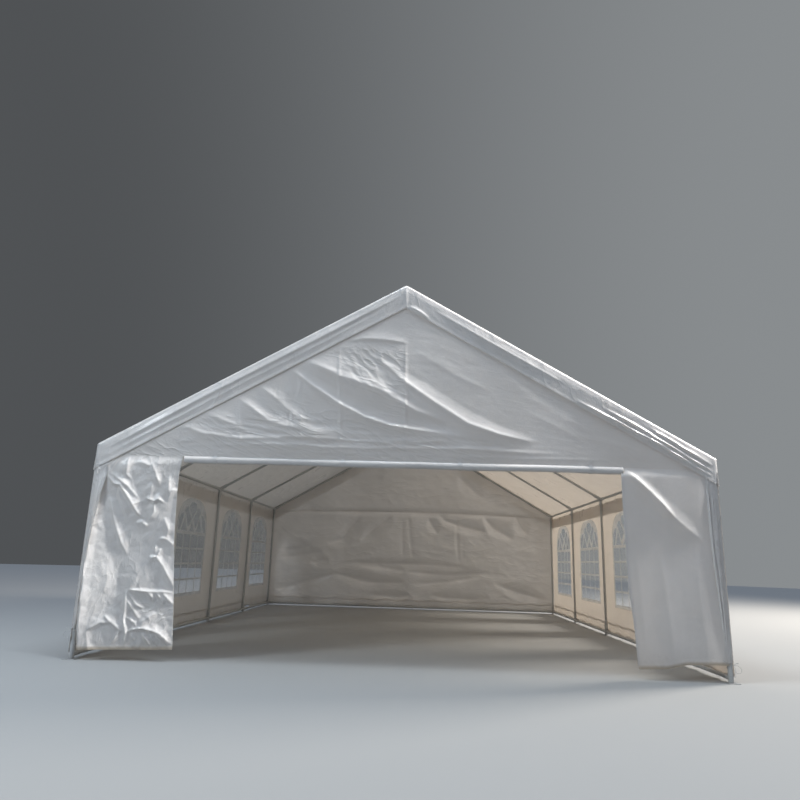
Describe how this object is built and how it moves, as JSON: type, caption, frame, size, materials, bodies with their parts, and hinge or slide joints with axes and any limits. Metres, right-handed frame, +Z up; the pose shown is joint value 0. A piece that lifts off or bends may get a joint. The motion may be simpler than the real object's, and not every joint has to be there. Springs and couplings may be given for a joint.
{
  "type": "marquee tent",
  "caption": "White gabled marquee tent on a steel tube frame, open at the front with its door rolled up, with church windows along both sides.",
  "frame": {"origin": "on the ground, in the middle of the tent's plan", "axes": "+Z up, +Y from the open front to the rear wall, +X to the right of someone who looks in"},
  "size_m": [6.12, 8.12, 3.7645],
  "materials": {
    "roof_tarpaulin": "woven polyethylene tarpaulin, white, semi-gloss, lets some light through",
    "wall_tarpaulin": "woven polyethylene tarpaulin, white, semi-gloss, creased from packing",
    "window_film": "clear soft film with white printed glazing bars",
    "frame_tube": "light grey powder coat on steel tube",
    "ground_steel": "light grey powder coat, soiled near the ground",
    "webbing": "woven white webbing"
  },
  "bodies": {
    "root": {"door_roll": "wall_tarpaulin", "eave_rail_left": "frame_tube", "eave_rail_right": "frame_tube", "front_flap_left": "wall_tarpaulin", "front_flap_right": "wall_tarpaulin", "front_gable": "wall_tarpaulin", "ground_rail_left": "ground_steel", "ground_rail_rear": "ground_steel", "ground_rail_right": "ground_steel", "left_wall": "wall_tarpaulin", "leg_left_1": "frame_tube", "leg_left_2": "frame_tube", "leg_left_3": "frame_tube", "leg_left_4": "frame_tube", "leg_left_5": "frame_tube", "leg_right_1": "frame_tube", "leg_right_2": "frame_tube", "leg_right_3": "frame_tube", "leg_right_4": "frame_tube", "leg_right_5": "frame_tube", "rafter_left_1": "frame_tube", "rafter_left_2": "frame_tube", "rafter_left_3": "frame_tube", "rafter_left_4": "frame_tube", "rafter_left_5": "frame_tube", "rafter_right_1": "frame_tube", "rafter_right_2": "frame_tube", "rafter_right_3": "frame_tube", "rafter_right_4": "frame_tube", "rafter_right_5": "frame_tube", "rear_wall": "wall_tarpaulin", "ridge_rail": "frame_tube", "right_wall": "wall_tarpaulin", "roll_tie_1": "webbing", "roll_tie_2": "webbing", "roll_tie_3": "webbing", "roll_tie_4": "webbing", "roof_cover": "roof_tarpaulin", "window_left_1": "window_film", "window_left_2": "window_film", "window_left_3": "window_film", "window_left_4": "window_film", "window_right_1": "window_film", "window_right_2": "window_film", "window_right_3": "window_film", "window_right_4": "window_film"}
  },
  "joints": []
}
